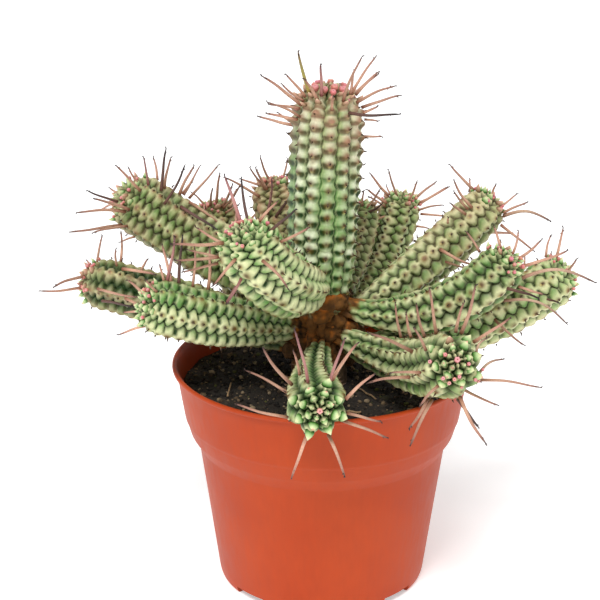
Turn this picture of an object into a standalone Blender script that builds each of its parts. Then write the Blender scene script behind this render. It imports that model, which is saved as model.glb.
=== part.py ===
"""A potted corn cob euphorbia: a ribbed column with thirteen ribbed offset stems on a short
trunk, dried flower-stalk spines, flower buds, soil, and a terracotta-coloured nursery pot.

Metres, +Z up. The origin is on the floor under the pot's centre, and the front faces -Y.
"""

import math

import bmesh
import bpy
from mathutils import Matrix, Vector, noise

MM = 0.001

# Pot, as (radius, height) in mm, from the underside's centre round to the floor's centre
POT_OUTSIDE = (
    (43.6, 0.0), (45.3, 0.9), (46.0, 3.5), (50.0, 34.0), (54.0, 63.6), (57.6, 69.5),
    (59.4, 75.6), (59.8, 76.0), (61.4, 86.0), (63.2, 97.8), (64.6, 98.2), (65.0, 98.8),
    (65.0, 99.6), (64.4, 100.0),
)
POT_INSIDE = (
    (63.4, 100.0), (62.9, 99.5), (61.9, 97.8), (58.4, 75.8), (56.2, 69.7), (52.7, 63.9),
    (44.6, 4.0), (43.2, 2.0),
)
POT_SEGMENTS = 48
DRAIN_SLOTS = 4
DRAIN_SLOT_AZIMUTH = 226.0
DRAIN_SLOT_WIDTH = 16.0
DRAIN_SLOT_TOP = 3.5
DRAIN_SLOT_RADII = (37.0, 50.0)

# Soil, as (radius, height) in mm down its side and underneath
SOIL_SIDE = ((60.0, 88.6), (58.0, 75.8), (52.2, 63.9), (44.1, 4.2), (42.6, 2.4))
SOIL_LEVEL = 90.0
SOIL_LUMPS = 1.1
SOIL_LUMP_SIZE = 7.0
SOIL_RINGS = 7
SOCKET_RADIUS = 13.6
SOCKET_FLOOR = 75.1

# Main stem: a bare trunk that widens into the ribbed column
MAIN_BASE = (-1.5, 0.0, 75.5)
MAIN = dict(
    azimuth=(0, 0), rise=(90, 87), length=145.5, radius=16.0, neck=12.5,
    widens=(0.34, 0.58), cap=15.0, ribs=13, rings=17,
)
RIB_DEPTH = 0.11
TRUNK_RADIUS = 13.0
ROOTED = 6.5
GAP = 0.35

# Offset stems in mm and degrees: where each leaves the trunk, how it turns and rises,
# its length and radius, its neck radius and the share of its length over which it widens
OFFSETS = {
    "front": dict(height=110, azimuth=(263, 276), rise=(-3, 14), length=83, radius=12.8,
                  neck=5.5, widens=(0, 1.0), ribs=8),
    "front_right": dict(height=113, azimuth=(317, 278), rise=(-7, 34), length=91, radius=13.8,
                        neck=5.5, widens=(0, 0.9), ribs=9),
    "right_low": dict(height=106, azimuth=(-2, 13), rise=(1, 38), length=101, radius=12.0,
                      neck=5.0, widens=(0, 0.6), ribs=9),
    "right_mid": dict(height=125, azimuth=(341, 354), rise=(-11, 59), length=78, radius=11.3,
                      neck=5.0, widens=(0, 0.6), ribs=7),
    "right_high": dict(height=118, azimuth=(23, 18), rise=(24, 46), length=83, radius=11.5,
                       neck=5.0, widens=(0, 0.6), ribs=7),
    "back_right": dict(height=103, azimuth=(70, 38), rise=(2, 79), length=89, radius=10.2,
                       neck=5.0, widens=(0, 0.6), ribs=7),
    "back": dict(height=120, azimuth=(71, 67), rise=(16, 63), length=58, radius=9.5,
                 neck=4.5, widens=(0, 0.6), ribs=7),
    "back_left": dict(height=111, azimuth=(108, 118), rise=(22, 75), length=76, radius=11.5,
                      neck=5.0, widens=(0, 0.6), ribs=8),
    "left_back": dict(height=100, azimuth=(128, 134), rise=(7, 73), length=89, radius=11.0,
                      neck=4.5, widens=(0, 0.6), ribs=8),
    "left_high": dict(height=126, azimuth=(144, 185), rise=(14, 39), length=94, radius=14.5,
                      neck=5.5, widens=(0, 0.5), ribs=8),
    "left_low": dict(height=107, azimuth=(171, 174), rise=(18, 12), length=96, radius=12.0,
                     neck=5.0, widens=(0, 0.5), ribs=7),
    "left_front": dict(height=117, azimuth=(208, 191), rise=(11, 21), length=71, radius=12.5,
                       neck=5.0, widens=(0, 0.6), ribs=7),
    "front_left": dict(height=140, azimuth=(256, 198), rise=(0, 71), length=66, radius=14.5,
                       neck=5.5, widens=(0, 0.45), ribs=8),
}
OFFSET_RINGS = 9
CAP_SHARE = 0.95
CAP_STEPS = (0.0, 0.4, 0.68, 0.87, 0.97)
CAP_POWER = 2.2
AXIS_STEPS = 60

# The longest spines: how far along the stem (percent), degrees round it from its upper
# side, lean from the stem's axis, sideways lean, and length in mm
SPINES = {
    "main": (
        (98, 31, 22, 4, 20), (97, 119, 32, 1, 24), (96, 157, 50, -2, 20),
        (93, 199, 77, -1, 18), (95, 35, 55, -4, 23),
    ),
    "front": ((84, 52, 65, -13, 22), (90, 331, 60, 1, 21), (83, 233, 55, 21, 21)),
    "front_right": ((86, 240, 45, 8, 27), (89, 192, 56, 2, 24), (75, 53, 72, 11, 23)),
    "right_low": ((92, 337, 45, 1, 14), (84, 110, 70, 5, 18)),
    "right_mid": ((93, 175, 55, 0, 29), (85, 164, 65, -2, 20), (87, 127, 60, 5, 17)),
    "right_high": ((86, 41, 83, -25, 19), (91, 148, 83, 0, 19), (84, 34, 91, -11, 16)),
    "back_right": ((91, 141, 81, -1, 17), (95, 153, 52, 0, 16)),
    "back": ((92, 28, 62, 10, 14), (92, 300, 62, 0, 13)),
    "back_left": ((89, 296, 60, -10, 21), (93, 30, 55, 0, 16)),
    "left_back": ((95, 348, 54, 3, 16), (93, 250, 60, 0, 14)),
    "left_high": ((90, 225, 44, -2, 25), (79, 317, 86, 23, 24), (84, 334, 63, 8, 21)),
    "left_low": ((95, 303, 52, -20, 19), (95, 261, 45, 4, 21)),
    "left_front": ((80, 15, 79, -2, 20), (87, 18, 87, -3, 18), (90, 200, 60, 0, 14)),
    "front_left": ((84, 265, 105, 0, 20), (83, 315, 75, -5, 16), (80, 215, 85, 0, 15)),
}
SPINE_SIDES = 6
SPINE_PROFILE = ((0.0, 0.68), (0.5, 0.55), (0.93, 0.45), (1.0, 0.2))
SPINE_BOW = 0.03
SPINE_LIFT = 0.5

# Flower buds on the crowns: how far along the stem, degrees round it and lean from the axis
BUDS = {
    "main": ((99, 50, 30), (99, 105, 30), (99, 160, 30)),
    "front": ((100, 0, 0),),
    "front_right": ((100, 0, 0),),
}
BUD_PROFILE = ((0.7, 0.0), (1.5, 1.0), (1.7, 2.1), (1.3, 3.1), (0.6, 3.5))
BUD_SIDES = 8
BUD_LIFT = 0.6

# name: (base colour, roughness)
MATERIALS = {
    "pot": ((0.58, 0.13, 0.05), 0.42),
    "soil": ((0.02, 0.016, 0.013), 0.95),
    "stem": ((0.36, 0.47, 0.25), 0.55),
    "spine": ((0.42, 0.24, 0.17), 0.6),
    "bud": ((0.75, 0.25, 0.28), 0.5),
}


def clear_scene():
    for obj in list(bpy.data.objects):
        bpy.data.objects.remove(obj)


def material(name):
    found = bpy.data.materials.get(name)
    if found:
        return found
    colour, roughness = MATERIALS[name]
    made = bpy.data.materials.new(name)
    made.use_nodes = True
    shader = made.node_tree.nodes["Principled BSDF"]
    shader.inputs["Base Color"].default_value = (*colour, 1.0)
    shader.inputs["Roughness"].default_value = roughness
    return made


def add_object(name, points, faces, slot, origin=(0, 0, 0)):
    """A smooth-shaded mesh object from points in mm, its faces turned outwards and its own
    origin at the given point."""
    origin = Vector(origin) * MM
    mesh = bpy.data.meshes.new(name)
    mesh.from_pydata([Vector(point) * MM - origin for point in points], [], faces)
    shape = bmesh.new()
    shape.from_mesh(mesh)
    bmesh.ops.recalc_face_normals(shape, faces=shape.faces)
    shape.to_mesh(mesh)
    shape.free()
    for polygon in mesh.polygons:
        polygon.use_smooth = True
    mesh.set_sharp_from_angle(angle=math.radians(50))
    mesh.materials.append(material(slot))
    obj = bpy.data.objects.new(name, mesh)
    obj.location = origin
    bpy.context.scene.collection.objects.link(obj)
    return obj


def add_cutter(name, points, faces):
    cutter = add_object(name, points, faces, "stem")
    cutter.hide_render = True
    cutter.display_type = "WIRE"
    return cutter


def cut(obj, cutter):
    boolean = obj.modifiers.new("cut_" + cutter.name, "BOOLEAN")
    boolean.operation = "DIFFERENCE"
    boolean.solver = "EXACT"
    boolean.object = cutter


def skin(rings, start=None, end=None):
    """(points, faces) of a tube through equal rings. Each end is closed to a point if one
    is given, and flat if not."""
    count = len(rings[0])
    points = [point for ring in rings for point in ring]
    faces = []
    for low in range(0, count * (len(rings) - 1), count):
        for i in range(count):
            j = (i + 1) % count
            faces.append((low + i, low + j, low + count + j, low + count + i))
    last = count * (len(rings) - 1)
    for first, pole in ((0, start), (last, end)):
        if pole is None:
            faces.append([first + i for i in range(count)])
            continue
        points.append(pole)
        tip = len(points) - 1
        faces.extend((first + i, first + (i + 1) % count, tip) for i in range(count))
    return points, faces


def circle(radius, height, count, centre=(0.0, 0.0)):
    turn = 2 * math.pi / count
    return [
        Vector((centre[0] + radius * math.cos(i * turn),
                centre[1] + radius * math.sin(i * turn), height))
        for i in range(count)
    ]


def build_pot():
    rings = [circle(r, z, POT_SEGMENTS) for r, z in POT_OUTSIDE + POT_INSIDE]
    pot = add_object("pot", *skin(rings), "pot")
    inner, outer = DRAIN_SLOT_RADII
    for i in range(DRAIN_SLOTS):
        azimuth = math.radians(DRAIN_SLOT_AZIMUTH + 360 * i / DRAIN_SLOTS)
        turn = Matrix.Rotation(azimuth, 3, "Z")
        half = DRAIN_SLOT_WIDTH / 2
        corners = ((inner, -half), (outer, -half), (outer, half), (inner, half))
        rings = [[turn @ Vector((x, y, z)) for x, y in corners] for z in (-2.0, DRAIN_SLOT_TOP)]
        cut(pot, add_cutter(f"drain_cutter_{i}", *skin(rings)))


def lumpy(point):
    return SOIL_LUMPS * noise.noise(point / SOIL_LUMP_SIZE)


def build_soil():
    """Its top is a lumpy ring between the trunk's socket and the wall."""
    rings = [circle(SOCKET_RADIUS, SOCKET_FLOOR, POT_SEGMENTS, MAIN_BASE)]
    edge_radius, edge_height = SOIL_SIDE[0]
    for i in range(SOIL_RINGS):
        share = i / SOIL_RINGS
        centre = (MAIN_BASE[0] * (1 - share), 0.0)
        radius = SOCKET_RADIUS + (edge_radius - SOCKET_RADIUS) * share
        ring = circle(radius, SOIL_LEVEL, POT_SEGMENTS, centre)
        rings.append([point + Vector((0, 0, lumpy(point))) for point in ring])
    rings.extend(circle(r, z, POT_SEGMENTS) for r, z in SOIL_SIDE)
    add_object("soil", *skin(rings), "soil")


def heading(stem, share):
    """The stem's axis direction, its horizontal side direction and its upper direction."""
    azimuth, rise = (math.radians(a + (b - a) * share) for a, b in (stem["azimuth"], stem["rise"]))
    along = Vector((math.cos(rise) * math.cos(azimuth), math.cos(rise) * math.sin(azimuth),
                    math.sin(rise)))
    side = Vector((math.sin(azimuth), -math.cos(azimuth), 0))
    return along, side, side.cross(along)


def stem_base(stem):
    if "height" not in stem:
        return Vector(MAIN_BASE)
    azimuth = math.radians(stem["azimuth"][0])
    return Vector((TRUNK_RADIUS * math.cos(azimuth), TRUNK_RADIUS * math.sin(azimuth),
                   stem["height"]))


def axis_point(stem, share):
    """Steps along the axis. A share below 0 lies in the trunk, on the axis run backwards."""
    point = stem_base(stem)
    if share <= 0:
        return point + heading(stem, 0)[0] * stem["length"] * share
    steps = max(1, round(AXIS_STEPS * share))
    for i in range(steps):
        point += heading(stem, share * (i + 0.5) / steps)[0] * (stem["length"] * share / steps)
    return point


def stem_radius(stem, share):
    start, end = stem["widens"]
    grown = min(1.0, max(0.0, (share - start) / (end - start)))
    radius = stem["neck"] + (stem["radius"] - stem["neck"]) * math.sin(math.pi / 2 * grown)
    cap = stem.get("cap", CAP_SHARE * stem["radius"]) / stem["length"]
    into_cap = min(1.0, max(0.0, (share - 1 + cap) / cap))
    return radius * math.sqrt(1 - into_cap ** CAP_POWER)


def stem_ring(stem, share, extra=0.0):
    """One ring of a ribbed stem, with a crest and a groove for each rib."""
    _, side, up = heading(stem, max(0.0, share))
    centre = axis_point(stem, share)
    radius = stem_radius(stem, share)
    ring = []
    for i in range(2 * stem["ribs"]):
        turn = math.pi * i / stem["ribs"]
        reach = radius * (1 - RIB_DEPTH * (i % 2)) + extra
        ring.append(centre + (up * math.cos(turn) + side * math.sin(turn)) * reach)
    return ring


def build_stem(name, stem, first_share):
    cap = stem.get("cap", CAP_SHARE * stem["radius"]) / stem["length"]
    body = stem.get("rings", OFFSET_RINGS)
    shares = [first_share + (1 - cap - first_share) * i / body for i in range(body)]
    shares += [1 - cap + cap * step for step in CAP_STEPS]
    rings = [stem_ring(stem, share) for share in shares]
    tube = skin(rings, end=axis_point(stem, 1.0))
    return add_object(name, *tube, "stem", stem_base(stem))


def build_stems():
    """Each offset begins inside the trunk and is cut back to just off the trunk's bark."""
    build_stem("main_stem", MAIN, 0.0)
    shares = [i / 14 for i in range(-1, 9)]
    trunk = add_cutter("trunk_cutter", *skin([stem_ring(MAIN, s, GAP) for s in shares]))
    for name, stem in OFFSETS.items():
        offset = build_stem("stem_" + name, stem, -ROOTED / stem["length"])
        cut(offset, trunk)


def on_skin(stem, percent, turn, lean, sway=0):
    """A point on the stem's skin, the way out of the skin there, and the way something
    growing from it aims."""
    share = percent / 100
    along, side, up = heading(stem, share)
    turn, lean, sway = (math.radians(angle) for angle in (turn, lean, sway))
    out = up * math.cos(turn) + side * math.sin(turn)
    leaning = out * math.cos(sway) + along.cross(out) * math.sin(sway)
    aim = along * math.cos(lean) + leaning * math.sin(lean)
    return axis_point(stem, share) + out * stem_radius(stem, share), out, aim


def across_from(aim):
    """Two directions at right angles to aim and to each other."""
    other = Vector((0, 0, 1)) if abs(aim.z) < 0.9 else Vector((1, 0, 0))
    first = aim.cross(other).normalized()
    return first, aim.cross(first)


def ring_about(centre, first, second, radius, sides):
    turns = [2 * math.pi * i / sides for i in range(sides)]
    return [centre + (first * math.cos(a) + second * math.sin(a)) * radius for a in turns]


def build_spine(name, stem, percent, turn, lean, sway, length):
    """A tapered dried flower stalk that stands just off the stem's skin and bows a little."""
    foot, out, aim = on_skin(stem, percent, turn, lean, sway)
    foot += out * (SPINE_LIFT + SPINE_PROFILE[0][1] * abs(math.cos(math.radians(lean))))
    first, second = across_from(aim)
    rings = []
    for reach, radius in SPINE_PROFILE:
        bow = second * SPINE_BOW * length * math.sin(math.pi * reach)
        centre = foot + aim * (length * reach) + bow
        rings.append(ring_about(centre, first, second, radius, SPINE_SIDES))
    add_object(name, *skin(rings), "spine", foot)


def build_bud(name, stem, percent, turn, lean):
    """A small rounded flower bud that stands just off the crown of a stem."""
    foot, _, aim = on_skin(stem, percent, turn, lean)
    foot += aim * BUD_LIFT
    first, second = across_from(aim)
    rings = [ring_about(foot + aim * height, first, second, radius, BUD_SIDES)
             for radius, height in BUD_PROFILE]
    add_object(name, *skin(rings), "bud", foot)


def build_details():
    for kind, table, build in (("spine", SPINES, build_spine), ("bud", BUDS, build_bud)):
        for name, rows in table.items():
            stem = MAIN if name == "main" else OFFSETS[name]
            for i, row in enumerate(rows, start=1):
                build(f"{kind}_{name}_{i}", stem, *row)


clear_scene()
build_pot()
build_soil()
build_stems()
build_details()
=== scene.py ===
"""The looks of the potted corn cob euphorbia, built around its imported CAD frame.

Every stem is a closed skin of tubercles worked out in numpy: ribs that meet in wavy grooves,
a tubercle with a leaf scar every few millimetres along each rib, small pointed leaves on the
crown, and dried stubs lower down. Flower-stalk spines, flower buds, soil and the pot follow.
Lengths are in mm and angles in degrees unless a name says otherwise; meshes are in metres.
"""

import math

import bpy
import numpy as np
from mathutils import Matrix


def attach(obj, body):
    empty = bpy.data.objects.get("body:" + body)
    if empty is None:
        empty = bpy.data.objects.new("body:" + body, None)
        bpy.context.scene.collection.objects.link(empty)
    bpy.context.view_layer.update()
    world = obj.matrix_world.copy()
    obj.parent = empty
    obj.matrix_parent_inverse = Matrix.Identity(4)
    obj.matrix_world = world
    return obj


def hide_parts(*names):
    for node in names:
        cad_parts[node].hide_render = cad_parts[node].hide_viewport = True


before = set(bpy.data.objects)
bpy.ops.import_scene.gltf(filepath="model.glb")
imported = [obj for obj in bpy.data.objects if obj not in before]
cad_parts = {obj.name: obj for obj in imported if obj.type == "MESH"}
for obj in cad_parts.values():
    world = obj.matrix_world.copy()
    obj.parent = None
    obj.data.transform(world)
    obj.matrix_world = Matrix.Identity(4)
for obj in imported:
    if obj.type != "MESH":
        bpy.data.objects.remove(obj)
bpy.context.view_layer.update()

MM = 0.001
SEED = 20

# ---------------------------------------------------------------- the plant's layout, as in the CAD

MAIN_BASE = (-1.5, 0.0, 75.5)
TRUNK_RADIUS = 13.0
CAP_SHARE = 0.95
CAP_POWER = 2.2

# Where each stem leaves the trunk (height), how it turns and rises, its length and radius, its
# neck and the share of its length over which it widens, as in the CAD. The heights, azimuths,
# rises and lengths come from a fit of the stems to the photograph, made by another program.
# Then its looks: the spacing of its tubercles, the turn of its first rib, how tan its skin is and
# how much painted shade darkens it, how wavy its grooves are and how much straighter they get
# towards its tip, how deep its valleys are and how much painted shade darkens them, and the
# spacing and size of its crown's tubercles and leaves.
STEMS = {
    "main": dict(azimuth=(0, 0), rise=(90, 87), length=145.5, radius=16.0, neck=12.5,
                 widens=(0.34, 0.58), cap=15.0, ribs=13, pitch=5.8, turn=12.3, tan=0.25, dark=0.0,
                 wave=0.075, straighten=0.03),
    "front": dict(height=110, azimuth=(263, 276), rise=(-3, 14), length=83, radius=12.8,
                  neck=5.5, widens=(0, 1.0), ribs=8, pitch=6.0, turn=24, tan=0.0, dark=0.25,
                  valley=0.8, crown=0.36, leaf=1.15),
    "front_right": dict(height=113, azimuth=(317, 278), rise=(-7, 34), length=91, radius=13.8,
                        neck=5.5, widens=(0, 0.9), ribs=8, pitch=7.2, turn=10, tan=0.1, dark=0.2,
                        valley=0.55, crown=0.32, leaf=1.1),
    "right_low": dict(height=106, azimuth=(-2, 13), rise=(1, 38), length=101, radius=12.0,
                      neck=5.0, widens=(0, 0.6), ribs=7, pitch=5.4, turn=5, tan=0.1, dark=0.0),
    "right_mid": dict(height=125, azimuth=(341, 354), rise=(-11, 59), length=78, radius=11.3,
                      neck=5.0, widens=(0, 0.6), ribs=7, pitch=5.6, turn=25, tan=0.1, dark=0.1,
                      valley=0.5),
    "right_high": dict(height=118, azimuth=(23, 18), rise=(24, 46), length=83, radius=11.5,
                       neck=5.0, widens=(0, 0.6), ribs=7, pitch=5.6, turn=0, tan=0.3, dark=0.0,
                       valley=0.25),
    "back_right": dict(height=103, azimuth=(70, 38), rise=(2, 79), length=89, radius=10.2,
                       neck=5.0, widens=(0, 0.6), ribs=7, pitch=4.8, turn=15, tan=0.2, dark=0.0),
    "back": dict(height=120, azimuth=(71, 67), rise=(16, 63), length=58, radius=9.5,
                 neck=4.5, widens=(0, 0.6), ribs=7, pitch=4.4, turn=30, tan=0.3, dark=0.2),
    "back_left": dict(height=111, azimuth=(108, 118), rise=(22, 75), length=76, radius=11.5,
                      neck=5.0, widens=(0, 0.6), ribs=8, pitch=4.6, turn=12, tan=0.7, dark=0.15),
    "left_back": dict(height=100, azimuth=(128, 134), rise=(7, 73), length=89, radius=11.0,
                      neck=4.5, widens=(0, 0.6), ribs=8, pitch=4.4, turn=20, tan=0.6, dark=0.2),
    "left_high": dict(height=126, azimuth=(144, 185), rise=(14, 39), length=94, radius=14.5,
                      neck=5.5, widens=(0, 0.5), ribs=8, pitch=4.6, turn=8, tan=0.35, dark=0.25),
    "left_low": dict(height=107, azimuth=(171, 174), rise=(18, 12), length=96, radius=12.0,
                     neck=5.0, widens=(0, 0.5), ribs=7, pitch=4.4, turn=14, tan=0.4, dark=0.75),
    "left_front": dict(height=117, azimuth=(208, 191), rise=(11, 21), length=71, radius=12.5,
                       neck=5.0, widens=(0, 0.6), ribs=7, pitch=4.4, turn=18, tan=0.0, dark=0.1),
    "front_left": dict(height=140, azimuth=(256, 198), rise=(0, 71), length=66, radius=14.5,
                       neck=5.5, widens=(0, 0.45), ribs=8, pitch=4.2, turn=2, tan=0.0, dark=0.0),
}

# Spines: how far along the stem (percent), degrees round it from its upper side, lean from the
# stem's axis, sideways lean, length in mm, and kind: t tan, m mauve, d dark, y yellow, c curved.
# Nearly all rows were printed by another program, from a fit to the spines in the photograph.
SPINES = {
    "main": (
        (98, 30, 20, 5, 19, "y"), (98, 70, 25, 10, 16, "m"), (98, 155, 5, 0, 10, "t"),
        (97, 120, 30, 0, 24, "t"), (98, 160, 30, -5, 20, "t"), (96, 215, 55, 0, 16, "t"),
        (97, 190, 45, 0, 13, "t"), (96, 155, 60, 0, 19, "t"), (93, 200, 75, 0, 18, "t"),
        (93, 165, 60, 0, 7, "t"), (94, 125, 80, 15, 26, "d"), (90, 190, 95, -5, 6, "t"),
        (85, 190, 90, -5, 8, "t"), (97, 65, 45, -10, 15, "t"), (97, 30, 45, 0, 14, "t"),
        (96, 35, 55, 0, 14, "t"), (95, 35, 55, -5, 23, "t"), (94, 35, 80, -5, 15, "t"),
        (92, 40, 65, -5, 18, "t"), (91, 35, 75, 0, 16, "t"), (95, 95, 45, -5, 10, "t"),
    ),
    "front": (
        (93, 20, 65, -5, 25, "m"), (76, 30, 60, -15, 13, "t"), (94, 335, 60, 10, 23, "m"),
        (90, 330, 60, 0, 21, "t"), (92, 285, 70, 30, 16, "t"), (89, 255, 55, 5, 15, "t"),
        (83, 235, 55, 20, 21, "t"), (89, 160, 90, 0, 18, "t"), (90, 200, 60, 0, 18, "t"),
        (84, 50, 65, -15, 22, "t"), (49, 115, 120, -45, 23, "t"), (88, 110, 70, -40, 23, "t"),
    ),
    "front_right": (
        (40, 0, 85, 10, 16, "t"), (47, 355, 85, 15, 11, "t"), (65, 5, 75, 10, 15, "t"),
        (86, 15, 55, 0, 21, "t"), (86, 340, 60, 5, 13, "t"), (90, 335, 55, 10, 21, "t"),
        (96, 290, 65, 30, 7, "c"), (75, 55, 70, 10, 23, "t"), (93, 60, 45, -20, 14, "t"),
        (90, 100, 65, -10, 15, "t"), (74, 100, 75, -10, 20, "t"), (94, 140, 65, -10, 14, "t"),
        (71, 155, 80, -20, 15, "t"), (73, 160, 75, -20, 22, "t"), (85, 190, 60, 10, 15, "d"),
        (89, 190, 55, 0, 24, "t"), (71, 225, 45, 5, 18, "t"), (86, 240, 45, 10, 27, "t"),
        (83, 250, 75, 45, 12, "c"),
    ),
    "right_low": (
        (95, 335, 40, 0, 10, "t"), (98, 345, 40, 0, 14, "t"), (84, 90, 70, 5, 8, "d"),
        (61, 75, 75, 35, 22, "t"), (98, 70, 60, -20, 11, "t"),
    ),
    "right_mid": (
        (98, 255, 65, 20, 15, "t"), (98, 220, 30, 10, 13, "t"), (97, 185, 35, 0, 20, "t"),
        (93, 175, 55, 0, 30, "c"), (89, 170, 65, 0, 11, "t"), (80, 165, 60, 0, 28, "c"),
        (87, 125, 60, 5, 17, "d"), (97, 305, 70, 0, 12, "t"),
    ),
    "right_high": (
        (86, 40, 85, -25, 19, "t"), (84, 35, 90, -10, 16, "t"), (81, 40, 100, -10, 15, "t"),
        (98, 55, 60, -10, 9, "t"), (98, 130, 10, 0, 9, "t"), (96, 140, 25, 0, 12, "t"),
        (95, 145, 55, 0, 21, "c"), (91, 150, 85, 0, 19, "t"), (58, 60, 80, 40, 22, "t"),
        (56, 90, 75, 10, 14, "t"), (71, 25, 60, 0, 3, "t"),
    ),
    "back_right": (
        (97, 330, 50, 0, 14, "t"), (98, 15, 40, -5, 16, "t"), (97, 285, 45, -5, 5, "t"),
        (97, 70, 35, -10, 13, "t"), (96, 140, 50, 0, 16, "t"), (95, 155, 50, 0, 16, "t"),
        (93, 105, 65, 0, 13, "t"), (91, 140, 80, 0, 17, "t"), (85, 115, 85, 0, 6, "t"),
        (93, 355, 70, 0, 14, "t"), (91, 355, 75, 0, 12, "t"),
    ),
    "back": (
        (92, 30, 60, 10, 14, "t"), (93, 15, 55, 0, 9, "t"), (89, 40, 75, 10, 10, "d"),
    ),
    "back_left": (
        (93, 310, 45, -5, 15, "t"), (93, 315, 45, 0, 14, "t"), (98, 320, 45, 0, 16, "t"),
        (89, 295, 60, -10, 21, "t"), (98, 30, 25, -5, 10, "t"), (74, 330, 70, 45, 23, "d"),
        (77, 310, 50, 45, 20, "m"),
    ),
    "left_back": (
        (98, 335, 40, 10, 18, "t"), (98, 310, 55, 25, 14, "t"), (96, 350, 55, 5, 15, "t"),
        (95, 350, 60, 15, 17, "t"), (98, 285, 45, 0, 11, "t"), (92, 350, 80, 10, 11, "t"),
    ),
    "left_high": (
        (93, 310, 30, -5, 18, "t"), (95, 325, 35, -5, 10, "t"), (91, 330, 50, 5, 15, "m"),
        (84, 335, 65, 10, 21, "d"), (83, 345, 70, 0, 16, "t"), (79, 315, 85, 25, 24, "d"),
        (75, 0, 85, 0, 15, "t"), (74, 20, 90, 0, 15, "t"), (73, 20, 90, 0, 8, "t"),
        (70, 20, 100, 0, 20, "t"), (98, 245, 25, 5, 16, "d"), (92, 265, 35, -5, 20, "t"),
        (93, 255, 45, -10, 26, "t"), (90, 225, 45, 0, 25, "t"), (88, 235, 50, 0, 18, "t"),
        (82, 220, 55, 0, 7, "t"), (71, 330, 140, -40, 24, "d"), (69, 355, 185, 0, 17, "t"),
    ),
    "left_low": (
        (98, 305, 60, -40, 19, "t"), (98, 260, 40, 5, 20, "t"), (85, 345, 80, 0, 9, "t"),
        (85, 30, 75, 0, 14, "t"), (82, 340, 135, -45, 23, "t"), (90, 280, 145, 15, 24, "t"),
        (87, 255, 140, 40, 21, "d"), (77, 275, 130, 5, 19, "t"), (74, 350, 105, 0, 7, "t"),
    ),
    "left_front": (
        (87, 20, 85, -5, 19, "m"), (80, 15, 80, 0, 20, "d"), (71, 15, 80, 0, 17, "t"),
        (61, 15, 80, 0, 18, "t"), (52, 330, 90, 0, 14, "m"), (89, 20, 60, 0, 7, "t"),
        (94, 330, 40, -5, 9, "t"),
    ),
    "front_left": (
        (97, 70, 45, 5, 22, "m"), (96, 50, 45, 10, 19, "d"), (97, 85, 75, -20, 10, "t"),
        (92, 325, 65, -5, 16, "d"), (83, 315, 75, -5, 16, "t"), (84, 265, 105, 0, 20, "t"),
        (90, 225, 85, -5, 19, "t"), (80, 215, 85, 0, 15, "m"), (96, 185, 60, 5, 22, "t"),
        (90, 175, 60, 5, 18, "t"), (86, 165, 70, 5, 15, "t"),
    ),
}

# sRGB colours, 0 to 255
CREAM = (223, 226, 173)
CREAM_WHITE = (231, 238, 203)
PALE = (177, 198, 133)
GREEN = (106, 154, 78)
# painted shade: dark green for tubercle undersides, the slits between plates and the rib valleys
PAINTED_SHADE_GREEN = (18, 60, 8)
# painted shade: the dark line in the grooves between ribs
PAINTED_GROOVE_SHADE = (26, 48, 14)
SCAR = (126, 92, 34)
SCAR_DOT = (52, 34, 20)
SCAR_PALE = (222, 208, 132)
TAN = (190, 148, 116)
PINK = (226, 128, 128)
CORK = (120, 76, 26)
BARK = (84, 66, 42)
BARK_DARK = (38, 26, 10)
STUB = (66, 46, 34)
RUST = (176, 102, 32)
BLOTCH = (140, 110, 48)
TIP_RED = (122, 66, 52)
SEAM_BROWN = (62, 50, 26)
# painted shade: a cool blue-green tint for the main stem's left-facing flank
PAINTED_LEFT_FLANK_SHADE = (134, 158, 148)
SHADED_GREEN = (34, 62, 22)
CROWN_GREEN = (24, 68, 14)
POT_TINT, POT_DARK, POT_LIGHT = (196, 88, 54), (172, 61, 20), (181, 68, 25)
PEAT, PEAT_PALE, MOSS = (40, 33, 26), (84, 70, 54), (70, 68, 36)
OLD_STALK = (168, 136, 100)


def linear(colour):
    """An sRGB colour of 0 to 255 as linear light."""
    c = np.asarray(colour, float) / 255
    return np.where(c <= 0.04045, c / 12.92, ((c + 0.055) / 1.055) ** 2.4)


def smooth(low, high, x):
    t = np.clip((x - low) / (high - low), 0, 1)
    return t * t * (3 - 2 * t)


def blend_to(colour, other, amount):
    """Colours moved towards another colour by an amount for each point."""
    amount = np.clip(amount, 0, 1)[..., None]
    return colour * (1 - amount) + linear(other) * amount


def hashed(*numbers):
    """A repeatable pseudo-random number from 0 to 1 for each set of whole numbers."""
    total = np.zeros(np.broadcast(*numbers).shape, np.uint64)
    for number in numbers:
        whole = np.asarray(number).astype(np.int64).astype(np.uint64)
        total = total * np.uint64(6364136223846793005) + whole
        total ^= total >> np.uint64(29)
        total = total * np.uint64(0xBF58476D1CE4E5B9)
        total ^= total >> np.uint64(32)
    return (total >> np.uint64(11)).astype(float) / 2.0 ** 53


def value_noise(points, size, seed):
    """Smooth noise of -1 to 1 over points in mm, with features of the given size."""
    cell = np.floor(points / size)
    part = points / size - cell
    part = part * part * (3 - 2 * part)
    total = np.zeros(points.shape[:-1])
    for corner in range(8):
        step = np.array([(corner >> axis) & 1 for axis in range(3)])
        weight = np.prod(np.where(step, part, 1 - part), axis=-1)
        total += weight * hashed(*np.moveaxis(cell + step, -1, 0), seed)
    return 2 * total - 1


def rough_noise(points, size, seed, octaves=3):
    total = np.zeros(points.shape[:-1])
    for octave in range(octaves):
        total += value_noise(points, size / 2 ** octave, seed + octave) / 2 ** octave
    return total / 1.75


def between(at, places, values):
    """Values of three numbers, given at increasing places, read off at any other places."""
    return np.stack([np.interp(at, places, values[:, k]) for k in range(3)], -1)


def circle(count):
    """Evenly spaced angles of a full turn, in radians."""
    return 2 * np.pi * np.arange(count) / count


def spun(points, turn):
    """Points turned about Z by an angle in radians."""
    c, s = math.cos(turn), math.sin(turn)
    x, y, z = points.T
    return np.stack([x * c - y * s, x * s + y * c, z], -1)


# ---------------------------------------------------------------- stem geometry


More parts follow.
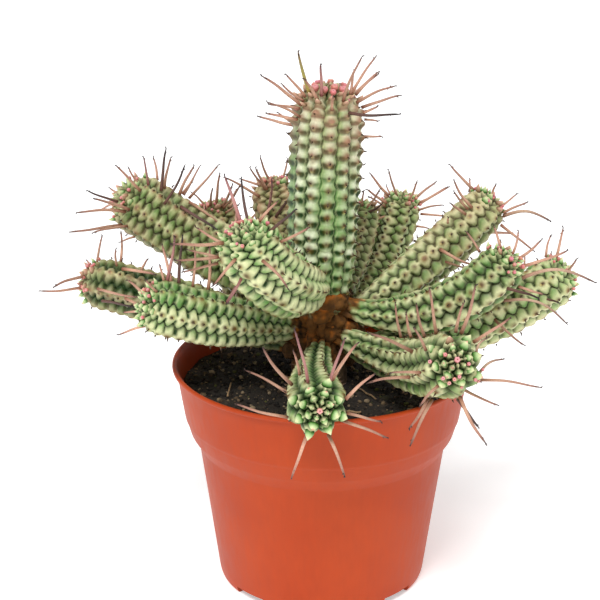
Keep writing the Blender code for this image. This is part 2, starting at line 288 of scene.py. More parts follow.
def stem_radius(stem, share):
    start, end = stem["widens"]
    grown = np.clip((share - start) / (end - start), 0, 1)
    radius = stem["neck"] + (stem["radius"] - stem["neck"]) * np.sin(np.pi / 2 * grown)
    cap = stem.get("cap", CAP_SHARE * stem["radius"]) / stem["length"]
    into_cap = np.clip((share - 1 + cap) / cap, 0, 1)
    return radius * np.sqrt(1 - into_cap ** CAP_POWER)


def heading(stem, share):
    """The stem's axis direction, its horizontal side direction and its upper direction."""
    share = np.maximum(share, 0)
    azimuth, rise = (np.radians(a + (b - a) * share) for a, b in (stem["azimuth"], stem["rise"]))
    along = np.stack([np.cos(rise) * np.cos(azimuth), np.cos(rise) * np.sin(azimuth),
                      np.sin(rise)], -1)
    side = np.stack([np.sin(azimuth), -np.cos(azimuth), 0 * azimuth], -1)
    return along, side, np.cross(side, along)


def axis_points(stem, share):
    """Points of the axis at any shares of its length. Below 0 it runs straight back."""
    if "height" in stem:
        azimuth = math.radians(stem["azimuth"][0])
        base = np.array([TRUNK_RADIUS * math.cos(azimuth), TRUNK_RADIUS * math.sin(azimuth),
                         stem["height"]])
    else:
        base = np.array(MAIN_BASE)
    steps = 200
    middles = (np.arange(steps) + 0.5) / steps
    walked = np.cumsum(heading(stem, middles)[0] * (stem["length"] / steps), axis=0)
    walked = np.vstack([np.zeros(3), walked])
    knots = np.linspace(0, 1, steps + 1)
    points = between(share, knots, walked)
    back = np.minimum(share, 0)[..., None] * stem["length"] * heading(stem, np.zeros(1))[0]
    return base + points + back


class Skin:
    """The bare skin of a stem as a grid of rows along it and columns round it, with the
    tubercle that each point belongs to."""

    def __init__(self, name, spacing, start):
        stem = self.stem = STEMS[name]
        self.name, self.seed = name, SEED + 17 * sorted(STEMS).index(name)
        fine = np.linspace(start, 1, 3000)
        reach = stem_radius(stem, fine)
        walked = np.hypot(np.diff(fine) * stem["length"], np.diff(reach))
        walked = np.concatenate([[0], np.cumsum(walked)])
        rows = int(walked[-1] / spacing)
        self.walk = np.linspace(0, walked[-1], rows)
        self.share = np.interp(self.walk, walked, fine)
        self.to_tip = walked[-1] - self.walk
        self.reach = stem_radius(stem, self.share)
        # Tubercles are closer together towards the growing point
        young = 1 - smooth(0.4 * stem["radius"], 1.5 * stem["radius"], self.to_tip)
        pitch = stem["pitch"] + (stem.get("crown", 0.29) * stem["radius"] - stem["pitch"]) * young
        pitch *= 0.68 + 0.32 * smooth(0, 0.9 * stem["radius"], self.to_tip)
        self.pitch = pitch
        passed = np.diff(self.walk) / (0.5 * (pitch[1:] + pitch[:-1]))
        self.number = np.concatenate([[0], np.cumsum(passed)])
        self.number += 0.37
        columns = int(2 * np.pi * stem["radius"] / spacing / 4) * 4
        self.turn = np.arange(columns) * 360.0 / columns
        self.along, self.side, self.up = heading(stem, self.share)
        self.centre = axis_points(stem, self.share)
        self.widening = np.gradient(self.reach, self.walk)

    def phase(self, rib):
        ribs = self.stem["ribs"]
        return (rib * (ribs // 2) / ribs) % 1

    def turn_of(self, rib):
        return self.stem["turn"] + 360.0 * rib / self.stem["ribs"]

    def row_of(self, rib, count):
        """The row, as a fraction, where a rib's given tubercle has its centre."""
        return np.interp(count + self.phase(rib), self.number, np.arange(len(self.number)))

    def at(self, row, turn):
        """Skin point, skin normal, axis direction and outward direction at fractional rows
        and turns."""
        index = np.arange(len(self.number))
        along, side, up, centre = (between(row, index, values) for values in
                                   (self.along, self.side, self.up, self.centre))
        angle = np.radians(turn)[..., None]
        out = up * np.cos(angle) + side * np.sin(angle)
        reach = np.interp(row, index, self.reach)[..., None]
        slope = np.interp(row, index, self.widening)[..., None]
        normal = out * np.sqrt(np.clip(1 - slope ** 2, 0, 1)) - along * slope
        return centre + out * reach, normal, along, out

    def tubercles(self):
        """For each grid point: its rib and tubercle, how far it is across its rib (-1 to 1) and
        along it (-0.5 to 0.5), and how wide half its rib is there in mm."""
        stem = self.stem
        ribs = stem["ribs"]
        psi = ((self.turn - stem["turn"]) * ribs / 360.0)[None, :]
        number = self.number[:, None]
        left = np.floor(psi)
        straighter = stem.get("straighten", 0.0) * smooth(0.5, 0.9, self.share)[:, None]
        wave = stem.get("wave", 0.12) - straighter
        spread = np.stack(np.broadcast_arrays(number * 0.9, left * 7.3, left * 0), -1)
        wobble = 0.035 * value_noise(spread, 1.0, self.seed)
        shift = wave * 0.5 * (np.cos(2 * np.pi * (number - self.phase(left)))
                              - np.cos(2 * np.pi * (number - self.phase(left + 1)))) + wobble
        is_left = psi < left + 0.5 + shift
        rib = np.where(is_left, left, left + 1)
        half = np.where(is_left, 0.5 + shift, 0.5 - shift)
        across = (psi - rib) / half
        along = number - self.phase(rib)
        count = np.round(along)
        along = along - count
        rib = rib % ribs
        width = half * 2 * np.pi * np.maximum(self.reach, 2.0)[:, None] / ribs
        return rib, count, across, along, width


def cork_colours(point, seed, woody):
    """The rusty cork of the stem bases, or greyer bark where woody is 1."""
    fine = rough_noise(point, 2.4, seed + 22, 2)[..., None]
    streak = rough_noise(point * [1, 1, 0.35], 3.2, seed + 41)[..., None]
    rust = smooth(0.10, 0.45, rough_noise(point, 3.6, seed + 43, 2))[..., None]
    colour = linear(CORK) * (0.8 + 0.6 * fine)
    colour = colour * (1 - rust) + linear(RUST) * rust
    woody = woody[..., None]
    colour = colour * (1 - woody) + linear(BARK) * woody * (0.9 + 0.5 * streak)
    dark = smooth(0.1, 0.7, streak)
    return np.clip(colour * (1 - dark) + linear(BARK_DARK) * dark, 0, 1)


def grow_skin(name, spacing, start):
    """A stem's skin and the mesh that it fills: its closed, coloured surface."""
    skin = Skin(name, spacing, start)
    stem = skin.stem
    rib, count, across, along, width = skin.tubercles()
    shape = across.shape
    pitch = skin.pitch[:, None]
    to_tip = skin.to_tip[:, None]
    share = skin.share[:, None]
    seed = skin.seed
    luck, luck2, luck3 = (hashed(rib, count, seed + step) for step in range(3))

    rows, columns = shape
    grid_rows = np.repeat(np.arange(rows)[:, None], columns, 1)
    turns = np.repeat(skin.turn[None, :], rows, 0)
    point, normal, _, _ = skin.at(grid_rows, turns)

    off = np.abs(across)
    along_j = along + 0.16 * (luck - 0.5) + 0.09 * rough_noise(point, 5, seed + 7, 2)
    groove = (1 - off) * width
    crown = 1 - smooth(0.35 * stem["radius"], 1.15 * stem["radius"], to_tip) + 0 * across
    fade = smooth(0, 2.5, to_tip)
    from_root = share * stem["length"] + 0 * across
    main = name == "main"
    if main:
        ribbed = smooth(24, 46, from_root)
        bark = 1 - smooth(38, 62, from_root + 7 * rough_noise(point, 9, seed + 5))
    else:
        ribbed = smooth(1, 12, from_root)
        bark = 1 - smooth(-3, 8, from_root + 7 * rough_noise(point, 5, seed + 5))

    # Ribs: low and rounded on the main stem, deeper and sharper on the offsets
    rib_luck = hashed(rib, seed + 3)
    chevron = along_j - 0.12 * (off - 0.35)
    slit = (0.5 - np.abs(chevron - np.round(chevron))) * pitch
    tooth = np.exp(-(along_j * pitch / 1.25) ** 2 - (across * width / 1.6) ** 2)
    if main:
        depth = 0.135 * skin.reach[:, None]
        drop = depth * (0.72 * off ** 2.0 + 0.28 * np.exp(-(groove / 0.45) ** 2))
        drop += ribbed * (0.30 + 0.50 * luck) * (1 - tooth)
        drop += ribbed * 0.42 * (0.5 - 0.5 * np.cos(2 * np.pi * along_j))
        under = np.exp(-((along_j + 0.13) / 0.08) ** 2) * smooth(0.08, 0.3, off)
        drop += ribbed * 0.42 * under
        shoulder = smooth(98, 126, from_root)
        boss = np.exp(-((along_j - 0.06) * pitch / 1.7) ** 2 - (across * width / 2.1) ** 2)
        drop += shoulder * (0.35 - (0.30 + 0.60 * luck2) * boss)
    else:
        depth = (0.25 + 0.08 * stem.get("valley", 0.0) + 0.10 * crown) * skin.reach[:, None]
        drop = depth * (0.90 * off ** 1.35 + 0.10 * np.exp(-(groove / 0.55) ** 2))
        flank = 0.30 + 0.70 * smooth(0.05, 0.45, off)
        drop += ribbed * (0.75 + 0.5 * luck) * (1 - smooth(0.0, 1.1, slit)) * flank
        drop += ribbed * 0.35 * (1 - tooth) * (1 - smooth(0.1, 0.5, off))
        drop += ribbed * 0.18 * (0.5 - chevron) + 0.35 * rough_noise(point, 7, seed + 12, 2)
    knob = 0.5 * (np.abs(2 * along) ** 2.2) + 0.5 * off ** 2.2
    drop += crown * fade * (2.2 * np.clip(knob, 0, 1) - 0.7)
    cracks = np.abs(rough_noise(point * [1, 1, 0.6], 4, seed + 8))
    drop += 1.3 * bark * cracks * smooth(0, 4, to_tip)
    uneven = 1 + rough_noise(point, 17, seed + 11)
    drop += 0.35 * rib_luck * ribbed + 0.018 * skin.reach[:, None] * uneven

    # Leaf scars: a small mound with a pit, on the crest of each tubercle
    scar_up = 0.07 * (luck2 - 0.5)
    from_scar = np.hypot((along_j - scar_up) * pitch, across * width)
    mound = np.exp(-(from_scar / 1.0) ** 2)
    pit = np.exp(-(from_scar / 0.45) ** 2)
    drop -= ribbed * (0.28 * mound - 0.35 * pit)
    drop = np.maximum(drop, -0.8) * smooth(-0.5, 1.5, to_tip)
    point = point - normal * drop[..., None]

    # Colour
    mottle = rough_noise(point, 11, seed + 21)
    fine = rough_noise(point, 2.4, seed + 22, 2)
    colour = np.broadcast_to(linear(PALE), shape + (3,)).copy()
    cream = (0.18 if main else 0.30) + 0.35 * (1 - off) + 0.5 * (luck - 0.5) \
        + 0.6 * (rib_luck - 0.5) + 0.55 * mottle
    if main:
        bulge = 0.5 - 0.5 * np.cos(2 * np.pi * along_j)
        cream += 0.30 * smooth(85, 140, from_root) + 0.30 * bulge - 0.07
        green = 0.24 + 0.45 * smooth(0.35, 0.95, off)
    else:
        # Painted light: one flank of each rib lighter than the other, and each plate lighter at its
        # upper side than near the slit below
        cream += 0.22 * np.sign(across) * smooth(0.1, 0.5, off) \
            + 0.55 * np.clip(chevron, -0.5, 0.5)
        green = 0.12 + 0.80 * smooth(0.25, 0.9, off)
    colour = blend_to(colour, CREAM_WHITE if main else CREAM, cream)
    colour = blend_to(colour, GREEN, green - 0.5 * mottle - 0.7 * (rib_luck - 0.5)
                      - 0.4 * (luck2 - 0.5) + 0.15 * fine)
    if main:
        # Painted shade: a dark green bar on the underside of each tubercle, below its scar
        below = along_j + 0.05 - 0.05 * fine
        painted_bar_shade = np.exp(-(below / np.where(below < 0, 0.28, 0.16)) ** 2)
        painted_bar_shade = painted_bar_shade * smooth(0.06, 0.3, off + 0.15 * fine)
        strength = np.clip(3.0 * hashed(rib, count, across > 0, seed + 4) + 0.1 + 0.5 * mottle, 0, 1)
        strength = strength * (1.0 - 0.45 * smooth(108, 136, from_root))
        above = np.exp(-((below + 0.12) / 0.2) ** 2)
        colour = blend_to(colour, GREEN, 0.7 * ribbed * above * smooth(0.0, 0.5, off))
        colour = blend_to(colour, PAINTED_SHADE_GREEN, 1.7 * ribbed * painted_bar_shade * strength)
    else:
        sides = smooth(0.05, 0.4, off)
        # Painted shade in the slits between the plates
        painted_slit_shade = np.exp(-(slit / (0.5 + 0.4 * luck3)) ** 2) * sides * (0.9 + 0.5 * luck)
        colour = blend_to(colour, PAINTED_SHADE_GREEN, ribbed * painted_slit_shade)
        # Painted highlight along the upper side of each slit
        painted_plate_highlight = np.exp(-((slit - 1.0) / 0.35) ** 2) * (chevron > 0)
        colour = blend_to(colour, CREAM, ribbed * 0.55 * painted_plate_highlight)
    colour = blend_to(colour, CREAM, 0.35 * ribbed * np.exp(-((groove - 0.85) / 0.3) ** 2))
    edge = (0.55 + 0.35 * fine) if main else (0.45 + 0.5 * ribbed + 0.5 * fine)
    # Painted shade towards the rib valleys, by each stem's valley amount
    colour = blend_to(colour, PAINTED_SHADE_GREEN, stem.get("valley", 0.0) * ribbed * smooth(0.35, 0.85, off))
    # Painted shade: a dark line along the groove between ribs
    colour = blend_to(colour, PAINTED_GROOVE_SHADE, edge * np.exp(-(groove / (0.30 if main else 0.80)) ** 2))
    # Scars
    seen = ribbed * (1 - 0.8 * crown)
    pale_at = np.hypot((along_j - scar_up + 0.13) * pitch, across * width)
    dot_at = np.hypot((along_j - scar_up - 0.08) * pitch, across * width)
    for tone, amount, place, size in (
            (SCAR, 0.4 + 0.9 * luck2, from_scar, 0.8 + 0.9 * luck3),
            (SCAR_PALE, 0.9 * (luck > 0.35), pale_at, 0.55 if main else 0.42),
            (SCAR_DOT, 0.5 + 0.7 * luck, dot_at, 0.55 + 0.5 * luck3)):
        colour = blend_to(colour, tone, seen * amount * np.exp(-(place / size) ** 2))
    # Yellowish blotches, the tan flush and the deep tone of shaded stems
    blotch = smooth(0.30, 0.6, rough_noise(point, 6, seed + 31)) * (1 - off)
    colour = blend_to(colour, BLOTCH, 0.45 * blotch * seen)
    if main:
        flush = smooth(100, 138, from_root + 8 * mottle) * (0.45 + 0.6 * luck2) * (1 - 0.4 * off)
        tips = flush * np.exp(-((along_j - 0.1) / 0.2) ** 2) * (1 - smooth(0.2, 0.7, off))
        colour = blend_to(colour, TIP_RED, tips)
        colour = blend_to(colour, SEAM_BROWN, 1.5 * flush * np.exp(-((along_j + 0.24) / 0.11) ** 2))
        flush = 0.6 * flush
        # Painted shade: a cool blue-green tint on the left-facing flank
        colour = blend_to(colour, PAINTED_LEFT_FLANK_SHADE, 0.18 * smooth(0.6, 1.0, -normal[..., 0]))
    else:
        flush = stem["tan"] * (0.35 + 0.65 * smooth(0, 0.9, share)) \
            * (0.65 + 0.6 * luck2 + 0.5 * mottle) * (1 - 0.4 * off)
    colour = blend_to(colour, TAN, flush)
    colour = blend_to(colour, SHADED_GREEN, stem["dark"] * (0.15 + 1.1 * off + 0.4 * fine + 0.4 * mottle)
                      * (1 - 0.8 * crown))
    colour = blend_to(colour, CROWN_GREEN, 0.85 * crown * smooth(0.2, 0.7, knob))
    colour = blend_to(colour, CREAM, 0.40 * crown * (1 - smooth(0.0, 0.5, knob)) * (luck2 > 0.3))
    # Cork and bark
    woody = 1 - smooth(24, 40, from_root + 6 * mottle) if main else 0 * off
    cork = cork_colours(point, seed, woody)
    corky = smooth(0.25, 0.75, bark)[..., None]
    colour = colour * (1 - corky) + cork * corky
    colour *= (1 + 0.10 * fine)[..., None]

    points = np.vstack([point[:-1].reshape(-1, 3), skin.centre[:1], skin.centre[-1:]])
    colours = np.vstack([colour[:-1].reshape(-1, 3), colour[0, :1], linear(PINK)[None] * 0.6])
    barks = np.concatenate([bark[:-1].ravel(), [1, 0]])
    mesh = Build()
    mesh.add(points, tube_faces(rows - 1, columns), colours, barks)
    return skin, mesh


def grid_faces(rows, columns):
    """Quads of a tube whose rows of points follow each other, each row closed on itself."""
    row = np.arange(rows - 1)[:, None] * columns
    ring = np.arange(columns)[None, :]
    after = (ring + 1) % columns
    return np.stack([row + ring, row + after, row + columns + after, row + columns + ring],
                    -1).reshape(-1, 4)


def tube_faces(rows, columns):
    """Faces of a tube of rows of points, closed by fans round two points that follow the
    rows: the first for the low end and the second for the top end."""
    ring = np.arange(columns)
    after = (ring + 1) % columns
    low, top = (np.full(columns, rows * columns + end) for end in (0, 1))
    last = (rows - 1) * columns
    return [grid_faces(rows, columns), np.stack([after, ring, low], -1),
            np.stack([last + ring, last + after, top], -1)]


def new_object(name, data):
    made = bpy.data.objects.new(name, data)
    bpy.context.scene.collection.objects.link(made)
    return made


class Build:
    """Gathers points, faces and colours, then makes one mesh object of them."""

    def __init__(self):
        self.points, self.faces, self.colours, self.barks, self.count = [], [], [], [], 0

    def add(self, points, faces, colours, barks=0.0):
        points = np.asarray(points, float)
        if isinstance(faces, np.ndarray):
            faces = [faces]
        self.faces += [np.asarray(group, int) + self.count for group in faces]
        self.points.append(points)
        self.colours.append(np.broadcast_to(colours, points.shape))
        self.barks.append(np.broadcast_to(barks, len(points)))
        self.count += len(points)

    def make(self, name, material, slot):
        points = np.vstack(self.points) * MM
        mesh = bpy.data.meshes.new(name)
        sizes = np.concatenate([np.full(len(group), group.shape[1]) for group in self.faces])
        corners = np.concatenate([group.ravel() for group in self.faces])
        mesh.vertices.add(len(points))
        mesh.vertices.foreach_set("co", points.astype(np.float32).ravel())
        mesh.loops.add(len(corners))
        mesh.loops.foreach_set("vertex_index", corners.astype(np.int32))
        mesh.polygons.add(len(sizes))
        starts = np.concatenate([[0], np.cumsum(sizes)[:-1]])
        mesh.polygons.foreach_set("loop_start", starts.astype(np.int32))
        mesh.polygons.foreach_set("use_smooth", np.full(len(sizes), True))
        mesh.update(calc_edges=True)
        mesh.validate()
        tint = mesh.color_attributes.new("tint", "FLOAT_COLOR", "POINT")
        rgba = np.ones((len(points), 4), np.float32)
        rgba[:, :3] = np.clip(np.vstack(self.colours), 0, 1)
        tint.data.foreach_set("color", rgba.ravel())
        bark = mesh.attributes.new("bark", "FLOAT", "POINT")
        bark.data.foreach_set("value", np.concatenate(self.barks).astype(np.float32))
        mesh.materials.append(material)
        obj = new_object(name, mesh)
        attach(obj, "root")
        return obj


def perpendicular(aim):
    """Two directions at right angles to each aim and to each other."""
    aim = np.asarray(aim, float)
    other = np.where(np.abs(aim[..., 2:]) < 0.9, [0.0, 0.0, 1.0], [1.0, 0.0, 0.0])
    first = np.cross(aim, other)
    first /= np.linalg.norm(first, axis=-1, keepdims=True)
    return first, np.cross(aim, first)


def unit(vector):
    return vector / np.linalg.norm(vector, axis=-1, keepdims=True)


def tube(path, radii, sides, flat=1.0, wide=None):
    """(points, faces) of a closed tube along a path, with its radius at each point. It may be
    flattened, with its wide side turned to the given direction."""
    path = np.asarray(path, float)
    heading_ = unit(np.gradient(path, axis=0))
    first = perpendicular(heading_[0])[0] if wide is None else wide
    angle = circle(sides)
    rings = []
    for centre, aim, radius in zip(path, heading_, radii):
        first = unit(first - aim * (first @ aim))
        second = np.cross(aim, first)
        rings.append(centre + radius * (np.outer(np.cos(angle), first)
                                        + flat * np.outer(np.sin(angle), second)))
    points = np.vstack(rings + [path[:1], path[-1:]])
    return points, tube_faces(len(path), sides)


def gradient(stops, shares):
    """Colours between (share, colour) stops."""
    places = [share for share, _ in stops]
    colours = np.array([linear(colour) for _, colour in stops])
    return between(shares, places, colours)


def ring_colours(ramp, sides):
    """A tube's colours from one colour for each of its rings."""
    return np.vstack([np.repeat(ramp, sides, 0), ramp[:1], ramp[-1:]])


# ---------------------------------------------------------------- leaves, stubs and spines


LEAF_COLOURS = ((0, (18, 56, 10)), (0.28, (86, 138, 58)), (0.55, (178, 206, 142)), (0.8, CREAM))
TAN_LEAF_COLOURS = ((0, (70, 58, 30)), (0.35, (150, 116, 84)), (0.65, (200, 160, 132)),
                    (0.85, (224, 172, 150)))
LEAF_SIDES, STUB_SIDES, SPINE_SIDES = 8, 5, 8


def add_leaf(mesh, foot, along, out, luck, young, size, ramp_stops):
    """A small thick pointed leaf on a young tubercle, cream or pink at its tip."""
    length = size * (1.3 + 0.7 * luck[0] + 0.3 * young) + 0.4
    lean = math.radians(62 - 34 * young + 14 * (luck[1] - 0.5))
    sideways = np.cross(along, out)
    aim = unit(out * math.sin(lean) + along * math.cos(lean) + 0.16 * (luck[2] - 0.5) * sideways)
    steps = np.array([0.0, 0.25, 0.55, 0.8, 1.0])
    curl = unit(along - aim * (along @ aim))
    path = foot - aim * 0.6 * size + np.outer(steps * length, aim) \
        + np.outer(0.16 * length * steps ** 2, curl)
    radii = np.array([1.0, 1.0, 0.74, 0.36, 0.05]) * size * (0.85 + 0.3 * luck[3])
    points, faces = tube(path, radii, LEAF_SIDES, 0.6, sideways)
    tip = PINK if luck[4] < 0.30 + 0.25 * young else CREAM
    ramp = gradient(ramp_stops + ((1, tip),), steps)
    mesh.add(points, faces, ring_colours(ramp, LEAF_SIDES))


def add_stub(mesh, foot, normal, along, luck):
    """The dark dried hook that a fallen leaf leaves behind."""
    length = 0.9 + 1.0 * luck[0]
    sway = np.cross(along, normal) * 0.5 * (luck[1] - 0.5)
    steps = np.linspace(0, 1, 4)
    path = foot - normal * 0.25 + np.outer(steps * length, unit(normal + 0.25 * along + sway)) \
        + np.outer(0.45 * length * steps ** 2, -along * (1 if luck[2] < 0.75 else -1))
    points, faces = tube(path, np.array([0.42, 0.32, 0.22, 0.08]), STUB_SIDES)
    ramp = gradient(((0, (120, 92, 52)), (0.4, STUB), (1, SCAR_DOT)), steps)
    mesh.add(points, faces, ring_colours(ramp, STUB_SIDES))


def add_trim(skin, mesh, stub_odds):
    """Leaves on the crown's tubercles, and stubs on some of the older ones."""
    stem = skin.stem
    rng = np.random.default_rng(skin.seed)
    last = skin.number[-1]
    rows = np.arange(len(skin.walk))
    main = skin.name == "main"
    for rib in range(stem["ribs"]):
        for count in range(int(last) + 1):
            luck = rng.random(6)
            if not 1.0 < count + skin.phase(rib) < last - 0.15:
                continue
            row = skin.row_of(rib, count)
            to_tip = np.interp(row, rows, skin.to_tip)
            from_root = np.interp(row, rows, skin.share) * stem["length"]
            foot, normal, along, out = skin.at(np.array(row), np.array(skin.turn_of(rib)))
            zone = stem["radius"]
            if to_tip < zone:
                reach = np.interp(row, rows, skin.reach)
                size = min(1.7, max(0.45, 0.34 * 2 * math.pi * reach / stem["ribs"]))
                size *= stem.get("leaf", 1.0)
                tan = main or luck[5] < stem["tan"]
                if to_tip > 2.0:
                    add_leaf(mesh, foot - normal * 0.3, along, out, luck, 1 - to_tip / zone, size,
                             TAN_LEAF_COLOURS if tan else LEAF_COLOURS)
            elif from_root > (52 if main else 20) and luck[5] < stub_odds:
                add_stub(mesh, foot, normal, along, luck)


BURLS = 38
BURL_TURNS = 7
BURL_LOW = 98
BURL_RISE = 33


def add_burls(mesh):
    """Corky swellings on the trunk, where the stems leave it."""
    rng = np.random.default_rng(SEED + 90)
    columns = 44
    latitude = np.radians(np.linspace(-80, 80, 25))[:, None]
    turn = circle(columns)[None, :]
    ball = np.stack([np.cos(latitude) * np.cos(turn), np.cos(latitude) * np.sin(turn),
                     np.sin(latitude) + 0 * turn], -1).reshape(-1, 3)
    ball = np.vstack([ball, [[0, 0, -1], [0, 0, 1]]])
    faces = tube_faces(len(latitude), columns)
    for k in range(BURLS):
        azimuth = 2 * math.pi * BURL_TURNS * (k + 0.7 * rng.random()) / BURLS
        height = BURL_LOW + BURL_RISE * k / BURLS
        reach, size = rng.uniform(10, 15) - 0.06 * (height - BURL_LOW), rng.uniform(3.2, 5.6)
        # Burls beside the front stem's neck stand further in, so that they don't cover it
        from_front = abs(math.degrees(azimuth) % 360 - STEMS["front"]["azimuth"][0])
        if 102 < height < 122 and from_front < 30:
            reach -= 4
        centre = np.array([reach * math.cos(azimuth), reach * math.sin(azimuth), height])
        points = centre + ball * size * [1, 1, 0.85]
        lumps = 1 + 0.40 * rough_noise(points, 4.0, SEED + 91) \
            + 0.26 * rough_noise(points, 1.7, SEED + 92, 2)
        points = centre + (points - centre) * lumps[:, None]
        woody = 0.45 * (1 - smooth(106, 120, points[:, 2]))
        mesh.add(points, faces, cork_colours(points, SEED + 93, woody), 1.0)


SPINE_COLOURS = {
    "t": ((0, (148, 94, 72)), (0.3, (208, 162, 136)), (0.82, (172, 124, 106)), (1, (66, 44, 40))),
    "m": ((0, (150, 88, 84)), (0.4, (190, 136, 128)), (0.85, (146, 98, 96)), (1, (62, 40, 44))),
    "d": ((0, (110, 72, 62)), (0.4, (98, 70, 62)), (0.8, (62, 44, 42)), (1, (36, 28, 28))),
    "y": ((0, (196, 176, 92)), (0.5, (176, 166, 86)), (0.8, (150, 126, 80)), (1, (80, 58, 48))),
    "c": ((0, (160, 116, 96)), (0.4, (206, 172, 144)), (0.8, (150, 112, 96)), (1, (64, 46, 44))),
}


def add_spine(mesh, foot, out, along, lean, sway, length, kind, rng):
    """A dried flower stalk: tapered, a little crooked, with tiny bracts near its dark tip."""
    lean, sway = math.radians(lean), math.radians(sway)
    leaning = out * math.cos(sway) + np.cross(along, out) * math.sin(sway)
    aim = along * math.cos(lean) + leaning * math.sin(lean)
    first, second = perpendicular(aim)
    steps = np.linspace(0, 1, 12)
    luck = rng.random(8)
    bow = (0.16 if kind == "c" else 0.035) * length
    angle = 2 * np.pi * luck[0]
    if kind == "c":
        towards = unit(np.array([0, 0, 1.0]) - aim * aim[2])
    else:
        towards = first * math.cos(angle) + second * math.sin(angle)
    path = foot - out * 0.5 + np.outer(steps * length, aim)
    path += np.outer(np.sin(np.pi * steps) * bow, towards)
    path += np.outer(0.012 * length * np.sin(steps * (5 + 3 * luck[1]) + 6 * luck[2]) * steps, second)
    thick = (0.58 + 0.18 * luck[3]) * (0.74 + 0.015 * min(length, 22))
    if kind == "y":
        thick *= 1.15
    radii = thick * np.interp(steps, [0, 0.05, 0.5, 0.9, 0.97, 1],
                              [1.10, 1.0, 0.82, 0.55, 0.48, 0.22])
    points, faces = tube(path, radii, SPINE_SIDES)
    shade = 0.82 + 0.36 * luck[4]
    ramp = gradient(SPINE_COLOURS[kind], steps) * shade
    mesh.add(points, faces, ring_colours(ramp, SPINE_SIDES))
    # Bracts
    for bract in range(2 + int(2 * luck[5])):
        at = (1.0, 0.9, 0.8, 0.66)[bract] - 0.04 * rng.random()
        here = between(at, steps, path)
        angle = 2 * np.pi * rng.random()
        away = first * math.cos(angle) + second * math.sin(angle)
        size = 0.7 + 0.6 * rng.random()
        stub = here + np.outer(np.linspace(0, 1, 4) * size, unit(away + 0.9 * aim))
        points, faces = tube(stub, thick * np.array([0.42, 0.40, 0.28, 0.07]), STUB_SIDES)
        dark = gradient(SPINE_COLOURS[kind], np.array([min(1.0, at + 0.1)])) * shade * 0.8
        mesh.add(points, faces, dark)


def numbered_nodes(prefix):
    """The CAD's nodes that are called by the prefix and a number."""
    return sorted(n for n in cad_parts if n.startswith(prefix) and n[len(prefix):].isdigit())


def place_on(stem, percent, turn):
    """A stem's axis point, axis direction and outward direction at a place along and round it."""
    share = np.array([percent / 100])
    along, side, up = (v[0] for v in heading(stem, share))
    angle = math.radians(turn)
    return axis_points(stem, share)[0], along, up * math.cos(angle) + side * math.sin(angle)


def build_spines(name, skin, material):
    mesh = Build()
    rng = np.random.default_rng(skin.seed + 3)
    rows = list(SPINES[name])
    listed = [row[1] for row in rows]
    # Spines on the side that faces away from the front
    away = []
    for _ in range(40):
        percent, turn = rng.uniform(82, 97), rng.uniform(0, 360)
        lean, length = rng.uniform(45, 85), rng.uniform(9, 19)
        foot, _, out = place_on(skin.stem, percent, turn)
        near = min(abs((turn - other + 180) % 360 - 180) for other in listed + away)
        behind = foot[1] + (skin.stem["radius"] + length) * max(0, out[1])
        if out[1] > 0.35 and near > 16 and len(away) < 7 and behind < 88:
            away.append(turn)
            rows.append((percent, turn, lean, rng.uniform(-12, 12), length, "t"))
    for percent, turn, lean, sway, length, kind in rows:
        foot, along, out = place_on(skin.stem, percent, turn)
        foot = foot + out * stem_radius(skin.stem, np.array([percent / 100]))[0]
        add_spine(mesh, foot, out, along, lean, sway, length, kind, rng)
    obj = mesh.make("spines_" + name, material, "spine")
    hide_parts(*numbered_nodes(f"spine_{name}_"))


# ---------------------------------------------------------------- flower buds

# Where each stem's buds stand: how far along it (percent), degrees round it, size in mm
BUDS = {
    "main": ((99, 40, 1.7), (99, 75, 1.6), (99.4, 110, 1.8), (98.6, 100, 1.5), (99, 135, 1.7),
             (99, 150, 1.5), (99.3, 10, 1.4), (99.2, 175, 1.5), (99.3, 265, 1.6),
             (99.0, 215, 1.4), (99.0, 310, 1.5), (98.8, 25, 1.3)),
    "front": ((100, 0, 1.4),),
    "front_right": ((100, 0, 1.4), (99.2, 60, 1.0), (99.2, 250, 0.9)),
    "front_left": ((99, 60, 1.2), (98.5, 90, 1.3), (98, 75, 1.1), (97, 100, 1.1),
                   (98.5, 150, 1.0), (98.5, 20, 1.1), (97.5, 50, 1.0)),
    "left_high": ((98, 330, 1.1), (97, 300, 1.0), (98.5, 20, 1.1), (97.5, 270, 1.0),
                  (98.5, 200, 1.0)),
    "left_low": ((98, 300, 1.0), (98.5, 20, 1.0), (97.5, 345, 1.1)),
    "left_front": ((98.5, 20, 1.3), (97.5, 350, 1.0), (98, 60, 1.0)),
    "left_back": ((98.5, 30, 1.1), (98, 330, 1.0), (98, 300, 1.0)),
    "back_left": ((98.5, 30, 1.1), (98, 300, 1.1), (97.5, 330, 1.0), (98, 90, 1.0)),
    "back": ((98.5, 30, 0.9), (98, 300, 0.9)),
    "back_right": ((98.5, 60, 0.9), (98, 120, 0.9)),
    "right_high": ((98.5, 60, 1.0), (98, 120, 1.0), (98.5, 200, 1.0)),
    "right_mid": ((98.5, 90, 1.2), (98, 130, 1.2), (97.5, 160, 1.1), (98.8, 200, 1.2),
                  (98, 240, 1.1), (97.5, 110, 1.0)),
    "right_low": ((98.5, 0, 1.1), (98, 60, 1.0), (98.2, 320, 1.1), (98.4, 120, 1.0)),
}


